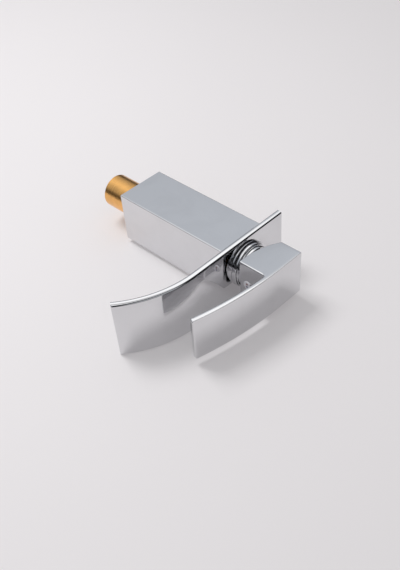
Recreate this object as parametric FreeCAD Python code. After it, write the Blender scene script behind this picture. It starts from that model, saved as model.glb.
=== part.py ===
import FreeCAD, Part
import math
import os

# Deck-mounted single-lever basin tap: a square column carries a thin, curved, hollow waterfall
# spout, with a small mixing cartridge in the column's head and a block-and-blade lever on top.
# Millimetres. Z is up the column, the spout reaches along -Y, and the origin is on the column's
# axis in the plane of the deck, which the base gasket touches.

V = FreeCAD.Vector
X_AXIS = V(1, 0, 0)
Y_AXIS = V(0, 1, 0)
Z_AXIS = V(0, 0, 1)

# ---- driving dimensions -------------------------------------------------------------------

# column
column_side = 45.0
column_height = 116.0
column_edge_round = 0.8
column_wall = 3.5
column_floor = 14.0
valve_block_height = 38.0

# base gasket and threaded shank
gasket_proud = 2.0
gasket_groove_depth = 2.0
gasket_outer_radius = 20.5
gasket_inner_radius = 17.5
gasket_edge_round = 0.8
shank_radius = 14.5
shank_root_radius = 14.0
shank_bore_radius = 11.5
shank_below_deck = 33.3
shank_in_column = 12.0
shank_end_chamfer = 1.0

# inlet threads for the two flexible hoses, and the mixed-water riser behind the cartridge
hose_thread_radius = 4.5
hose_thread_length = 10.0
hose_thread_x = 5.8
hose_thread_y = -3.0
riser_half_width = 11.0
riser_front = 17.6
riser_rear = 20.2
passage_radius = 2.5
passage_wall = 2.0
thread_run_out = 1.0

# cartridge pocket, neck and the nut thread inside it
neck_radius = 16.0
neck_height = 9.4
pocket_radius = 12.8
pocket_depth = 24.0
nut_thread_radius = 14.0
nut_thread_depth = 7.4

# spout plate
plate_width = 52.0
plate_thickness = 4.8
plate_rear = 41.0
plate_bend_start = -56.0
plate_bend_radius = 87.0
plate_bend_angle = 42.6
plate_edge_round = 1.2
tray_floor = 1.4
cover_thickness = 1.4
waterway_half_width = 22.0
waterway_rear = 37.0
plate_hole_radius = 16.1
hub_radius = 17.5
guide_rib_spacing = 11.0
guide_rib_width = 1.2
guide_rib_start = -24.0
guide_rib_end_angle = 27.0

# flat gasket between column and spout
spout_gasket_half = 21.2
spout_gasket_thickness = 1.2
spout_gasket_hole = 16.3
spout_gasket_relief = 0.2

# bonnet
bonnet_radius = 20.6
bonnet_band_height = 4.1
bonnet_groove_radius = 19.3
bonnet_groove_height = 0.9
bonnet_bead_radius = 20.0
bonnet_bead_height = 1.1
bonnet_crown_radius = 18.3
bonnet_crown_height = 1.8
bonnet_crown_round = 1.0
bonnet_mouth_radius = 11.0
bonnet_edge = 0.35
bonnet_lip = 1.2
bonnet_seal_inner = 17.0
bonnet_seal_outer = 19.0
bonnet_seal_height = 1.6

# cartridge
cartridge_radius = 12.6
cartridge_bore = 11.0
cartridge_base_height = 5.0
cartridge_body_height = 22.0
base_flange_height = 2.5
port_radius = 2.0
port_x = 2.9
port_y = -4.2
outlet_radius = 2.6
outlet_y = 5.6
seal_width = 0.8
seal_height = 1.2
locating_peg_radius = 1.4
locating_peg_length = 2.5
locating_peg_x = 9.3
locating_peg_gap = 0.05
locating_peg_end_gap = 0.2
base_spigot_radius = 10.9
fixed_disc_height = 3.5
fixed_disc_radius = 10.9
inlet_slot_inner = 1.8
inlet_slot_outer = 6.4
inlet_slot_angle = 25.0
inlet_slot_half_angle = 17.0
outlet_slot_half_length = 4.6
outlet_slot_front = 3.4
outlet_slot_rear = 8.2
moving_disc_radius = 8.4
moving_disc_height = 3.5
mixing_hollow_half_length = 5.0
mixing_hollow_front = 0.5
mixing_hollow_rear = 8.0
mixing_hollow_depth = 1.7
disc_face_gap = 0.02
slider_height = 4.0
slider_half_width = 6.95
slider_rest_offset = 1.5
key_radius = 1.2
key_length = 1.2
key_x = 4.6
key_side_gap = 0.02
key_end_gap = 0.05
ball_side_gap = 0.1
neck_relief_length = 0.9
neck_relief_depth = 1.0
carrier_radius = 10.7
carrier_underside = 110.2
carrier_shoulder = 117.0
carrier_neck_radius = 7.5
carrier_top = 120.5
housing_neck_bore = 7.56
housing_roof = 117.05
rail_inner = 7.0
rail_bottom = 106.3
stop_lug_inner = 8.7
stop_lug_outer = 10.4
stop_lug_height = 1.6
stop_lug_half_angle = 14.0
stop_recess_half_angle = 60.0
stop_gap = 0.3
nut_height = 5.4
nut_bore = 9.5
nut_slot_width = 3.0
nut_slot_depth = 2.0
nut_side_gap = 0.05

# stem and its pivot
pivot_height = 116.0
pivot_pin_radius = 1.5
pivot_pin_length = 15.0
pivot_running_gap = 0.03
stem_side = 7.0
stem_top = 147.0
stem_head_radius = 4.0
stem_neck_radius = 1.3
stem_ball_radius = 1.6
stem_ball_drop = 8.1
stem_side_gap = 0.05
stem_slot_half_length = 6.3

# lever handle: a block over the column and a long blade over the spout
block_width = 39.2
block_front = -19.6
block_rear = 18.4
block_bottom = 131.6
block_top = 160.9
belly_flat_end = -14.0
belly_radius = 57.0
blade_tip = -88.0
blade_thickness = 3.5
blade_tip_undercut = 0.7
blade_arch_start = -5.0
blade_arch_radius = 295.0
blade_root_round = 2.0
blade_corner_round = 1.5
handle_edge_round = 1.0
handle_wall = 3.2
cavity_roof = 150.0
cavity_corner = 4.0
boss_radius = 8.2
boss_bottom = 136.0
web_half_width = 4.2
socket_gap = 0.05
socket_depth = 11.5

# grub screw and index button in the block's front face
grub_height = 139.4
grub_radius = 2.5
grub_length = 8.5
grub_side_gap = 0.02
hex_key_size = 2.5
hex_key_depth = 3.0
button_radius = 3.6
button_proud = 0.7
button_seat_depth = 2.2
button_stem_radius = 2.4
button_stem_length = 3.4
button_side_gap = 0.05
button_chamfer = 0.3
inlay_radius = 0.9
inlay_depth = 0.5
inlay_offset = 1.3

# ---- levels along the column ---------------------------------------------------------------

column_bottom = gasket_proud
column_top = column_bottom + column_height
neck_top = column_top + neck_height
cavity_bottom = column_bottom + column_floor
valve_block_bottom = column_top - valve_block_height
pocket_floor = column_top - pocket_depth
plate_top = column_top + plate_thickness
disc_level = pocket_floor + cartridge_base_height
moving_level = disc_level + fixed_disc_height + disc_face_gap
slider_level = disc_level + fixed_disc_height + moving_disc_height
cartridge_top = disc_level + cartridge_body_height
bend_centre_z = column_top - plate_bend_radius
arch_centre_z = block_top - blade_arch_radius
tiny = 0.5
far = 20.0
smooth_angle = 0.1


# ---- shape helpers ---------------------------------------------------------------------------

def cylinder(radius, low, high, x=0.0, y=0.0):
    return Part.makeCylinder(radius, high - low, V(x, y, low), Z_AXIS)


def cylinder_along(axis, radius, start, length):
    return Part.makeCylinder(radius, length, start, axis)


def box(x_low, x_high, y_low, y_high, z_low, z_high):
    return Part.makeBox(x_high - x_low, y_high - y_low, z_high - z_low, V(x_low, y_low, z_low))


def ring(inner, outer, low, high, x=0.0, y=0.0):
    return cylinder(outer, low, high, x, y).cut(cylinder(inner, low, high, x, y))


def rounded_box(half_x, y_low, y_high, z_low, z_high, corner):
    """A box with its four upright edges rounded."""
    solid = box(-half_x, half_x, y_low, y_high, z_low, z_high)
    return solid.makeFillet(corner, upright_edges(solid))


def upright_edges(solid):
    return [edge for edge in solid.Edges if is_along(edge, Z_AXIS)]


def sharp_edges(shape):
    """The edges where two faces of a shape meet at an angle."""
    wanted = []
    for edge in shape.Edges:
        middle = edge.valueAt((edge.FirstParameter + edge.LastParameter) / 2)
        normals = []
        for face in shape.ancestorsOfType(edge, Part.Face):
            u, v = face.Surface.parameter(middle)
            normals.append(face.normalAt(u, v))
        if len(normals) == 2 and normals[0].getAngle(normals[1]) > smooth_angle:
            wanted.append(edge)
    return wanted


def is_along(edge, axis):
    if not isinstance(edge.Curve, Part.Line):
        return False
    direction = edge.tangentAt(edge.FirstParameter)
    return abs(abs(direction.dot(axis)) - 1) < 1e-6


def slot_prism(half_length, y_low, y_high, z_low, z_high):
    """A slot along X with round ends."""
    radius = (y_high - y_low) / 2
    middle = (y_high + y_low) / 2
    straight = half_length - radius
    shape = box(-straight, straight, y_low, y_high, z_low, z_high)
    for side in (-1, 1):
        shape = shape.fuse(cylinder(radius, z_low, z_high, side * straight, middle))
    return shape.removeSplitter()


def sector(inner, outer, middle_angle, half_angle, low, high):
    """Part of a ring, its middle at middle_angle degrees from +X."""
    first = math.radians(middle_angle - half_angle)
    last = math.radians(middle_angle + half_angle)
    middle = math.radians(middle_angle)

    def at(radius, angle):
        return V(radius * math.cos(angle), radius * math.sin(angle), low)

    edges = [
        Part.Arc(at(outer, first), at(outer, middle), at(outer, last)).toShape(),
        Part.LineSegment(at(outer, last), at(inner, last)).toShape(),
        Part.Arc(at(inner, last), at(inner, middle), at(inner, first)).toShape(),
        Part.LineSegment(at(inner, first), at(outer, first)).toShape(),
    ]
    return Part.Face(Part.Wire(edges)).extrude(V(0, 0, high - low))


def prism_across(edges, half_width):
    """A side outline in the YZ plane, made a solid of the given half width."""
    face = Part.Face(Part.Wire(Part.__sortEdges__(edges)))
    face.translate(V(-half_width, 0, 0))
    return face.extrude(V(2 * half_width, 0, 0))


def revolved(outline):
    """A closed outline of (radius, height) points, turned about Z."""
    points = [V(radius, 0, height) for radius, height in outline]
    face = Part.Face(Part.makePolygon(points + [points[0]]))
    return face.revolve(V(0, 0, 0), Z_AXIS, 360)


def line(start, end):
    return Part.LineSegment(start, end).toShape()


# ---- column, shank and gaskets ---------------------------------------------------------------

def column_body():
    """One brass casting: square hollow column, valve block and threaded neck."""
    half = column_side / 2
    body = rounded_box(half, -half, half, column_bottom, column_top, column_edge_round)
    body = body.fuse(cylinder(neck_radius, column_top, neck_top))
    inner = half - column_wall
    body = body.cut(rounded_box(inner, -inner, inner, cavity_bottom, valve_block_bottom, cavity_corner))
    body = body.cut(cylinder(shank_root_radius, column_bottom, column_bottom + shank_in_column))
    body = body.cut(cylinder(shank_bore_radius, column_bottom, cavity_bottom + tiny))
    body = body.cut(ring(gasket_inner_radius, gasket_outer_radius,
                         column_bottom, column_bottom + gasket_groove_depth))
    body = body.cut(cylinder(pocket_radius, pocket_floor, neck_top))
    body = body.cut(cylinder(nut_thread_radius, neck_top - nut_thread_depth, neck_top))
    body = body.cut(spout_gasket_blank())
    body = body.cut(water_passages())
    return body.removeSplitter()


def water_passages():
    """Two hose threads rising to the inlet ports, and the mixed-water way out to the riser."""
    thread_top = valve_block_bottom + hose_thread_length
    passages = []
    for side in (-1, 1):
        thread_x = side * hose_thread_x
        passages.append(cylinder(hose_thread_radius, valve_block_bottom - tiny, thread_top,
                                 thread_x, hose_thread_y))
        passages.append(cylinder(port_radius, thread_top - thread_run_out, pocket_floor,
                                 side * port_x, port_y))
        passages.append(cylinder(locating_peg_radius, pocket_floor - locating_peg_length,
                                 pocket_floor, side * locating_peg_x, 0.0))
    passage_level = valve_block_bottom + passage_radius + passage_wall
    passages.append(cylinder(outlet_radius, passage_level, pocket_floor, 0.0, outlet_y))
    passages.append(cylinder_along(Y_AXIS, passage_radius, V(0, outlet_y, passage_level),
                                   riser_front - outlet_y + tiny))
    passages.append(slot_prism(riser_half_width, riser_front, riser_rear,
                               passage_level - passage_radius, column_top))
    joined = passages[0]
    for passage in passages[1:]:
        joined = joined.fuse(passage)
    return joined


def base_gasket():
    """Rubber ring in the column's foot, with a flat sole on the deck."""
    blank = ring(gasket_inner_radius, gasket_outer_radius, 0.0, column_bottom + gasket_groove_depth)
    sole_edges = [edge for edge in blank.Edges if edge.BoundBox.ZMax < 0.01]
    return blank.makeFillet(gasket_edge_round, sole_edges)


def shank():
    """Hollow brass stud, screwed into the foot, that clamps the tap and lets the hoses through."""
    top = column_bottom + shank_in_column
    outline = [
        (shank_bore_radius, -shank_below_deck),
        (shank_radius - shank_end_chamfer, -shank_below_deck),
        (shank_radius, -shank_below_deck + shank_end_chamfer),
        (shank_radius, 0.0),
        (shank_root_radius, 0.0),
        (shank_root_radius, top),
        (shank_bore_radius, top),
    ]
    return revolved(outline)


def spout_gasket_blank():
    low = column_top - spout_gasket_thickness
    half = spout_gasket_half
    blank = rounded_box(half, -half, half, low, column_top, cavity_corner)
    return blank.cut(cylinder(neck_radius, low, column_top))


def spout_gasket():
    """Flat seal let into the column's top, open at the neck and at the riser."""
    low = column_top - spout_gasket_thickness
    seal = spout_gasket_blank().cut(cylinder(spout_gasket_hole, low, column_top))
    relief = spout_gasket_relief
    return seal.cut(slot_prism(riser_half_width + relief, riser_front - relief, riser_rear + relief,
                               low, column_top))


# ---- spout -----------------------------------------------------------------------------------

def bend_point(height, angle):
    """A point of the bent plate: height above its underside, angle in degrees into the bend."""
    radius = plate_bend_radius + height
    turn = math.radians(angle)
    return V(0, plate_bend_start - radius * math.sin(turn), bend_centre_z + radius * math.cos(turn))


def bend_arc(height, end_angle):
    start = bend_point(height, 0)
    end = bend_point(height, end_angle)
    return Part.Arc(start, bend_point(height, end_angle / 2), end).toShape()


def bent_slab(low, high, half_width, rear, end_angle):
    """A layer of the plate between two heights: flat at the rear, then following the bend."""
    rear_low = V(0, rear, column_top + low)
    rear_high = V(0, rear, column_top + high)
    edges = [
        line(rear_low, bend_point(low, 0)),
        bend_arc(low, end_angle),
        line(bend_point(low, end_angle), bend_point(high, end_angle)),
        bend_arc(high, end_angle),
        line(bend_point(high, 0), rear_high),
        line(rear_high, rear_low),
    ]
    return prism_across(edges, half_width)


def edges_near_height(slab, height):
    """The edges of a plate layer that lie all along one of its broad faces."""
    wanted = []
    for edge in slab.Edges:
        middle = edge.valueAt((edge.FirstParameter + edge.LastParameter) / 2)
        level = middle.z - column_top
        if middle.y < plate_bend_start:
            from_centre = math.hypot(middle.y - plate_bend_start, middle.z - bend_centre_z)
            level = from_centre - plate_bend_radius
        if abs(level - height) < 1e-3:
            wanted.append(edge)
    return wanted


def spout_tray():
    """Lower shell of the hollow spout: floor, side walls, hub round the neck and guide ribs."""
    rim = plate_thickness - cover_thickness
    tray = bent_slab(0.0, rim, plate_width / 2, plate_rear, plate_bend_angle)
    tray = tray.makeFillet(plate_edge_round, edges_near_height(tray, 0.0))
    tray = tray.cut(bent_slab(tray_floor, rim, waterway_half_width, waterway_rear,
                              plate_bend_angle + tiny))
    tray = tray.fuse(cylinder(hub_radius, column_top + tray_floor, column_top + rim))
    for place in (-1, 0, 1):
        rib = bent_slab(tray_floor, rim, guide_rib_width / 2, guide_rib_start, guide_rib_end_angle)
        rib.translate(V(place * guide_rib_spacing, 0, 0))
        tray = tray.fuse(rib)
    tray = tray.cut(cylinder(plate_hole_radius, column_top, column_top + rim))
    tray = tray.cut(slot_prism(riser_half_width, riser_front, riser_rear,
                               column_top, column_top + tray_floor))
    return tray.removeSplitter()


def spout_cover():
    """Upper shell of the hollow spout, the polished blade that the water sheet leaves."""
    rim = plate_thickness - cover_thickness
    cover = bent_slab(rim, plate_thickness, plate_width / 2, plate_rear, plate_bend_angle)
    cover = cover.makeFillet(plate_edge_round, edges_near_height(cover, plate_thickness))
    return cover.cut(cylinder(plate_hole_radius, column_top, plate_top + tiny))


# ---- bonnet ----------------------------------------------------------------------------------

def bonnet():
    """Round collar screwed on the neck, which clamps the spout to the column."""
    band_top = plate_top + bonnet_band_height
    groove_top = band_top + bonnet_groove_height
    bead_top = groove_top + bonnet_bead_height
    edge = bonnet_edge
    outline = [
        (neck_radius, plate_top),
        (bonnet_radius - edge, plate_top),
        (bonnet_radius, plate_top + edge),
        (bonnet_radius, band_top - edge),
        (bonnet_radius - edge, band_top),
        (bonnet_groove_radius, band_top),
        (bonnet_groove_radius, groove_top),
        (bonnet_bead_radius - edge, groove_top),
        (bonnet_bead_radius, groove_top + edge),
        (bonnet_bead_radius, bead_top - edge),
        (bonnet_bead_radius - edge, bead_top),
        (bonnet_crown_radius, bead_top),
        (bonnet_mouth_radius, bead_top),
        (bonnet_mouth_radius, bead_top - bonnet_lip),
        (neck_radius, bead_top - bonnet_lip),
    ]
    return revolved(outline).fuse(bonnet_crown(bead_top)).cut(bonnet_seal()).removeSplitter()


def bonnet_crown(foot):
    """Low round-shouldered crown over the cartridge nut, open in the middle for the stem."""
    crown = ring(bonnet_mouth_radius, bonnet_crown_radius, foot, foot + bonnet_crown_height)
    shoulder = []
    for edge in crown.Edges:
        at_top = edge.BoundBox.ZMin > foot + bonnet_crown_height - 0.01
        if at_top and edge.BoundBox.XMax > bonnet_crown_radius - 0.01:
            shoulder.append(edge)
    return crown.makeFillet(bonnet_crown_round, shoulder)


def bonnet_seal():
    """Rubber ring in a groove of the bonnet, pressed on the spout's upper face."""
    return ring(bonnet_seal_inner, bonnet_seal_outer, plate_top, plate_top + bonnet_seal_height)


# ---- cartridge -------------------------------------------------------------------------------

def ports():
    """Centres and radii of the three ports: hot and cold inlets in front, mixed outlet behind."""
    return [
        (-port_x, port_y, port_radius),
        (port_x, port_y, port_radius),
        (0.0, outlet_y, outlet_radius),
    ]


def ring_set(low):
    """Three separate seal rings, one round each port."""
    rings = []
    for x, y, radius in ports():
        rings.append(ring(radius, radius + seal_width, low, low + seal_height, x, y))
    return Part.Compound(rings)


def port_seals():
    return ring_set(pocket_floor)


def disc_seals():
    return ring_set(disc_level - seal_height)


def cartridge_base():
    """Moulded base that carries the ports, the seals and two locating pegs."""
    base = cylinder(cartridge_radius, pocket_floor, pocket_floor + base_flange_height)
    base = base.fuse(cylinder(base_spigot_radius, pocket_floor, disc_level))
    peg_end = pocket_floor - locating_peg_length + locating_peg_end_gap
    for side in (-1, 1):
        base = base.fuse(cylinder(locating_peg_radius - locating_peg_gap, peg_end, pocket_floor,
                                  side * locating_peg_x, 0.0))
    for x, y, radius in ports():
        base = base.cut(cylinder(radius, pocket_floor, disc_level, x, y))
        for low in (pocket_floor, disc_level - seal_height):
            base = base.cut(cylinder(radius + seal_width, low, low + seal_height, x, y))
    return base.removeSplitter()


def cartridge_housing():
    """Moulded cup over the discs, with the arc recess that limits the swivel."""
    floor = pocket_floor + base_flange_height
    housing = cylinder(cartridge_radius, floor, cartridge_top)
    housing = housing.cut(cylinder(cartridge_bore, floor, housing_roof))
    housing = housing.cut(cylinder(housing_neck_bore, housing_roof - tiny, cartridge_top))
    recess = sector(stop_lug_inner - stop_gap, stop_lug_outer + stop_gap, 90.0,
                    stop_recess_half_angle, housing_roof - tiny,
                    housing_roof + stop_lug_height + stop_gap)
    return housing.cut(recess)


def fixed_disc():
    """Ceramic disc with two kidney inlets and a wide outlet."""
    top = disc_level + fixed_disc_height
    disc = cylinder(fixed_disc_radius, disc_level, top)
    for side in (-1, 1):
        disc = disc.cut(sector(inlet_slot_inner, inlet_slot_outer, 270.0 + side * inlet_slot_angle,
                               inlet_slot_half_angle, disc_level, top))
    return disc.cut(slot_prism(outlet_slot_half_length, outlet_slot_front, outlet_slot_rear,
                               disc_level, top))


def moving_disc():
    """Ceramic disc that slides over the fixed one, with a mixing hollow in its face."""
    disc = cylinder(moving_disc_radius, moving_level, slider_level, 0.0, slider_rest_offset)
    disc = disc.cut(slot_prism(mixing_hollow_half_length, mixing_hollow_front, mixing_hollow_rear,
                               moving_level, moving_level + mixing_hollow_depth))
    for side in (-1, 1):
        disc = disc.cut(cylinder(key_radius, slider_level - key_length, slider_level,
                                 side * key_x, slider_rest_offset))
    return disc


def disc_slider():
    """Moulded slider: keyed to the moving disc, pushed by the stem's ball, guided by two rails."""
    top = slider_level + slider_height
    body = cylinder(moving_disc_radius, slider_level, top, 0.0, slider_rest_offset)
    body = body.common(box(-slider_half_width, slider_half_width, -far, far, slider_level, top))
    for side in (-1, 1):
        body = body.fuse(cylinder(key_radius - key_side_gap, slider_level - key_length + key_end_gap,
                                  slider_level, side * key_x, slider_rest_offset))
    half = stem_ball_radius + ball_side_gap
    body = body.cut(box(-half, half, -half, half, slider_level, top))
    relief = half + neck_relief_length
    return body.cut(box(-half, half, -relief, relief, top - neck_relief_depth, top))


def stem_carrier():
    """Turning fork that holds the stem's pivot and guides the slider."""
    carrier = cylinder(carrier_radius, carrier_underside, carrier_shoulder)
    carrier = carrier.fuse(cylinder(carrier_neck_radius, carrier_shoulder, carrier_top))
    rail_blank = cylinder(carrier_radius, rail_bottom, carrier_underside)
    rail_blank = rail_blank.cut(box(-rail_inner, rail_inner, -far, far, rail_bottom, carrier_underside))
    carrier = carrier.fuse(rail_blank)
    carrier = carrier.fuse(sector(stop_lug_inner, stop_lug_outer, 90.0, stop_lug_half_angle,
                                  carrier_shoulder - tiny, carrier_shoulder + stop_lug_height))
    half = stem_side / 2 + stem_side_gap
    carrier = carrier.cut(box(-half, half, -stem_slot_half_length, stem_slot_half_length,
                              carrier_underside, carrier_top))
    return carrier.cut(pin_blank(pivot_pin_radius)).removeSplitter()


def pin_blank(radius):
    return cylinder_along(X_AXIS, radius, V(-pivot_pin_length / 2, 0, pivot_height), pivot_pin_length)


def pivot_pin():
    return pin_blank(pivot_pin_radius)


def stem():
    """Square stem with a pivot eye and a ball end."""
    half = stem_side / 2
    shape = box(-half, half, -half, half, pivot_height, stem_top)
    eye_start = V(-half, 0, pivot_height)
    shape = shape.fuse(cylinder_along(X_AXIS, stem_head_radius, eye_start, stem_side))
    ball_height = pivot_height - stem_ball_drop
    shape = shape.fuse(cylinder(stem_neck_radius, ball_height, pivot_height - pivot_pin_radius))
    shape = shape.fuse(Part.makeSphere(stem_ball_radius, V(0, 0, ball_height)))
    return shape.cut(pin_blank(pivot_pin_radius + pivot_running_gap)).removeSplitter()


def cartridge_nut():
    """Ring nut inside the neck that holds the cartridge down."""
    top = cartridge_top + nut_height
    nut = ring(nut_bore, nut_thread_radius - nut_side_gap, cartridge_top, top)
    for across in (0, 90):
        slot = box(-far, far, -nut_slot_width / 2, nut_slot_width / 2, top - nut_slot_depth, top)
        slot.rotate(V(0, 0, 0), Z_AXIS, across)
        nut = nut.cut(slot)
    return nut


# ---- lever handle ----------------------------------------------------------------------------

def arch_point(y, depth=0.0):
    """A point on the handle's top, flat over the block and then arched, or at a depth below it."""
    radius = blade_arch_radius - depth
    reach = max(0.0, blade_arch_start - y)
    return V(0, y, arch_centre_z + math.sqrt(radius ** 2 - reach ** 2))


def belly_point(y):
    """A point on the curved underside of the block, which clears the bonnet when the lever lifts."""
    rise = belly_radius - math.sqrt(belly_radius ** 2 - (y - belly_flat_end) ** 2)
    return V(0, y, block_bottom + rise)


def handle_outline():
    """Side outline of block and blade."""
    tip_low = arch_point(blade_tip + blade_tip_undercut, blade_thickness)
    root_low = arch_point(block_front, blade_thickness)
    front_foot = V(0, block_front, block_bottom)
    belly_start = V(0, belly_flat_end, block_bottom)
    belly_end = belly_point(block_rear)
    belly_middle = belly_point((belly_flat_end + block_rear) / 2)
    blade_middle = (blade_tip + blade_arch_start) / 2
    lower_middle = arch_point((blade_tip + block_front) / 2, blade_thickness)
    arch_start = arch_point(blade_arch_start)
    return [
        line(arch_point(block_rear), arch_start),
        Part.Arc(arch_start, arch_point(blade_middle), arch_point(blade_tip)).toShape(),
        line(arch_point(blade_tip), tip_low),
        Part.Arc(tip_low, lower_middle, root_low).toShape(),
        line(root_low, front_foot),
        line(front_foot, belly_start),
        Part.Arc(belly_start, belly_middle, belly_end).toShape(),
        line(belly_end, arch_point(block_rear)),
    ]


def handle():
    """One casting: hollow block with a boss for the stem, and the blade reaching forward."""
    shape = prism_across(handle_outline(), block_width / 2)
    root_edges = [edge for edge in shape.Edges if is_root_edge(edge)]
    shape = shape.makeFillet(blade_root_round, root_edges)
    shape = shape.makeFillet(blade_corner_round, blade_corners(shape))
    shape = shape.makeFillet(handle_edge_round, sharp_edges(shape))
    cavity = rounded_box(block_width / 2 - handle_wall, block_front + handle_wall,
                         block_rear - handle_wall, block_bottom - tiny, cavity_roof, cavity_corner)
    boss = cylinder(boss_radius, boss_bottom, cavity_roof)
    web = box(-web_half_width, web_half_width, block_front + handle_wall / 2, 0.0,
              boss_bottom, cavity_roof)
    shape = shape.cut(cavity.cut(boss.fuse(web)))
    half = stem_side / 2 + socket_gap
    shape = shape.cut(box(-half, half, -half, half, boss_bottom, boss_bottom + socket_depth))
    face_centre = V(0, block_front, grub_height)
    shape = shape.cut(cylinder_along(Y_AXIS, grub_radius, face_centre, -block_front))
    seat_radius = button_radius + button_side_gap
    shape = shape.cut(cylinder_along(Y_AXIS, seat_radius, face_centre, button_seat_depth))
    return shape.removeSplitter()


def is_root_edge(edge):
    """The inner corner where the blade leaves the block."""
    middle = edge.valueAt((edge.FirstParameter + edge.LastParameter) / 2)
    root = arch_point(block_front, blade_thickness)
    return is_along(edge, X_AXIS) and abs(middle.y - root.y) < 0.01 and abs(middle.z - root.z) < 0.01


def blade_corners(shape):
    """The two upright edges at the blade's tip."""
    wanted = []
    for edge in shape.Edges:
        box_of_edge = edge.BoundBox
        at_tip = box_of_edge.YMax < blade_tip + blade_tip_undercut + 0.01
        if at_tip and box_of_edge.XLength < 0.01:
            wanted.append(edge)
    return wanted


def grub_screw():
    """Socket set screw that locks the handle on the stem."""
    tip = -stem_side / 2
    screw = cylinder_along(Y_AXIS, grub_radius - grub_side_gap, V(0, tip - grub_length, grub_height),
                           grub_length)
    corner_radius = hex_key_size / math.sqrt(3)
    corners = []
    for step in range(7):
        angle = math.radians(60 * step)
        corners.append(V(corner_radius * math.cos(angle), tip - grub_length,
                         grub_height + corner_radius * math.sin(angle)))
    socket = Part.Face(Part.makePolygon(corners)).extrude(V(0, hex_key_depth, 0))
    return screw.cut(socket)


def index_button():
    """Press-in cap over the grub screw, with two shallow seats for the colour inlays."""
    front = block_front - button_proud
    seat = block_front + button_seat_depth
    cap = cylinder_along(Y_AXIS, button_radius, V(0, front, grub_height), seat - front)
    front_edges = [edge for edge in cap.Edges if edge.BoundBox.YMax < front + 0.01]
    cap = cap.makeChamfer(button_chamfer, front_edges)
    cap = cap.fuse(cylinder_along(Y_AXIS, button_stem_radius, V(0, seat, grub_height),
                                  button_stem_length))
    return cap.cut(index_inlay(-1)).cut(index_inlay(1)).removeSplitter()


def index_inlay(side):
    """One round colour inlay: side -1 is hot, side +1 is cold."""
    front = block_front - button_proud
    return cylinder_along(Y_AXIS, inlay_radius, V(side * inlay_offset, front, grub_height),
                          inlay_depth)


# ---- the assembly ----------------------------------------------------------------------------

def all_parts():
    return {
        "column_body": column_body(),
        "base_gasket": base_gasket(),
        "shank": shank(),
        "spout_gasket": spout_gasket(),
        "spout_tray": spout_tray(),
        "spout_cover": spout_cover(),
        "bonnet": bonnet(),
        "bonnet_seal": bonnet_seal(),
        "cartridge_nut": cartridge_nut(),
        "cartridge_housing": cartridge_housing(),
        "cartridge_base": cartridge_base(),
        "port_seals": port_seals(),
        "disc_seals": disc_seals(),
        "fixed_disc": fixed_disc(),
        "moving_disc": moving_disc(),
        "disc_slider": disc_slider(),
        "stem_carrier": stem_carrier(),
        "pivot_pin": pivot_pin(),
        "stem": stem(),
        "handle": handle(),
        "grub_screw": grub_screw(),
        "index_button": index_button(),
        "hot_inlay": index_inlay(-1),
        "cold_inlay": index_inlay(1),
    }


def main():
    os.makedirs("parts", exist_ok=True)
    for name, shape in all_parts().items():
        shape.exportStep("parts/" + name + ".step")
        print(name, "solids", len(shape.Solids), "volume", round(shape.Volume, 1), "valid", shape.isValid())


main()
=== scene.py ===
import logging
import math
from collections.abc import Callable, Iterator, Sequence
from contextlib import contextmanager
from dataclasses import dataclass
from enum import Enum

import bmesh
import bpy
from mathutils import Matrix, Vector


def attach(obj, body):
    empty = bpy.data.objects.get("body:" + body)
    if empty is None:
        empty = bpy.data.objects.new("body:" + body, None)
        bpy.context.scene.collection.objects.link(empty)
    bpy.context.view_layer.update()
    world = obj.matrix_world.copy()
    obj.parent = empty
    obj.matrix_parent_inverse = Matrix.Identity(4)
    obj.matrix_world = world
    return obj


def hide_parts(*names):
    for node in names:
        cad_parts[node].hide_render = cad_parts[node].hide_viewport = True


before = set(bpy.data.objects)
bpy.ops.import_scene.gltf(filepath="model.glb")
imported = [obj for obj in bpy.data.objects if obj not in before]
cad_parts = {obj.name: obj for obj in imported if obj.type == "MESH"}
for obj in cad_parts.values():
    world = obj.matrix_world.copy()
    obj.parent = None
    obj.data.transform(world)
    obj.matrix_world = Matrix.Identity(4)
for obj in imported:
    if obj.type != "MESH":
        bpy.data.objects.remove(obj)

# A deck-mounted basin tap: square column, thin curved waterfall spout and block-and-blade lever.
# Metres, Z up the column, the spout reaching along -Y, the origin in the plane of the deck.
# The photograph shows the tap lying on its +X side, so the floor stands across the X axis.
# Sizes and places below are in millimetres unless said otherwise, and become metres where
# Blender takes them.

LOG = logging.getLogger("basin_tap")
MM = 0.001

# How close counts as the same, in millimetres: rows of points, places, and values worked out alike.
ROW = 0.1
NEAR = 0.01
HAIR = 0.001
# The same for angles along a bend, in radians.
SAME_TURN = 0.0005
# Points closer than this are merged, in millimetres.
MERGE = 0.002
# How far a cutter reaches past what it cuts, and a rib or hub into what carries it.
PAST = 1.0
INTO = 0.3

Point = tuple[float, float]
Place = tuple[float, float, float]
Colour = tuple[float, float, float]
Test = Callable[..., bool]
Inputs = dict[str, object]
Piece = bpy.types.Object
Material = bpy.types.Material
Tree = bpy.types.NodeTree
Node = bpy.types.Node
Socket = bpy.types.NodeSocket
Outputs = bpy.types.NodeOutputs


class Rides(Enum):
    """The moving bodies that the new pieces ride on."""

    TAP = "tap_body"
    LEVER = "lever"


class Slot(Enum):
    """The record's material slots."""

    CHROME = "chrome"
    BRASS = "brass"
    RUBBER = "black_rubber"
    GREY_MOULDING = "grey_moulding"
    WHITE_MOULDING = "white_moulding"
    CERAMIC = "ceramic"
    STEEL = "steel"
    WHITE_CAP = "white_cap"
    HOT = "hot_red"
    COLD = "cold_blue"


class Part(Enum):
    """The parts of a mesh that can be picked."""

    POINTS = "VERT"
    EDGES = "EDGE"
    FACES = "FACE"


# ---- modelling moves ----

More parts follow.
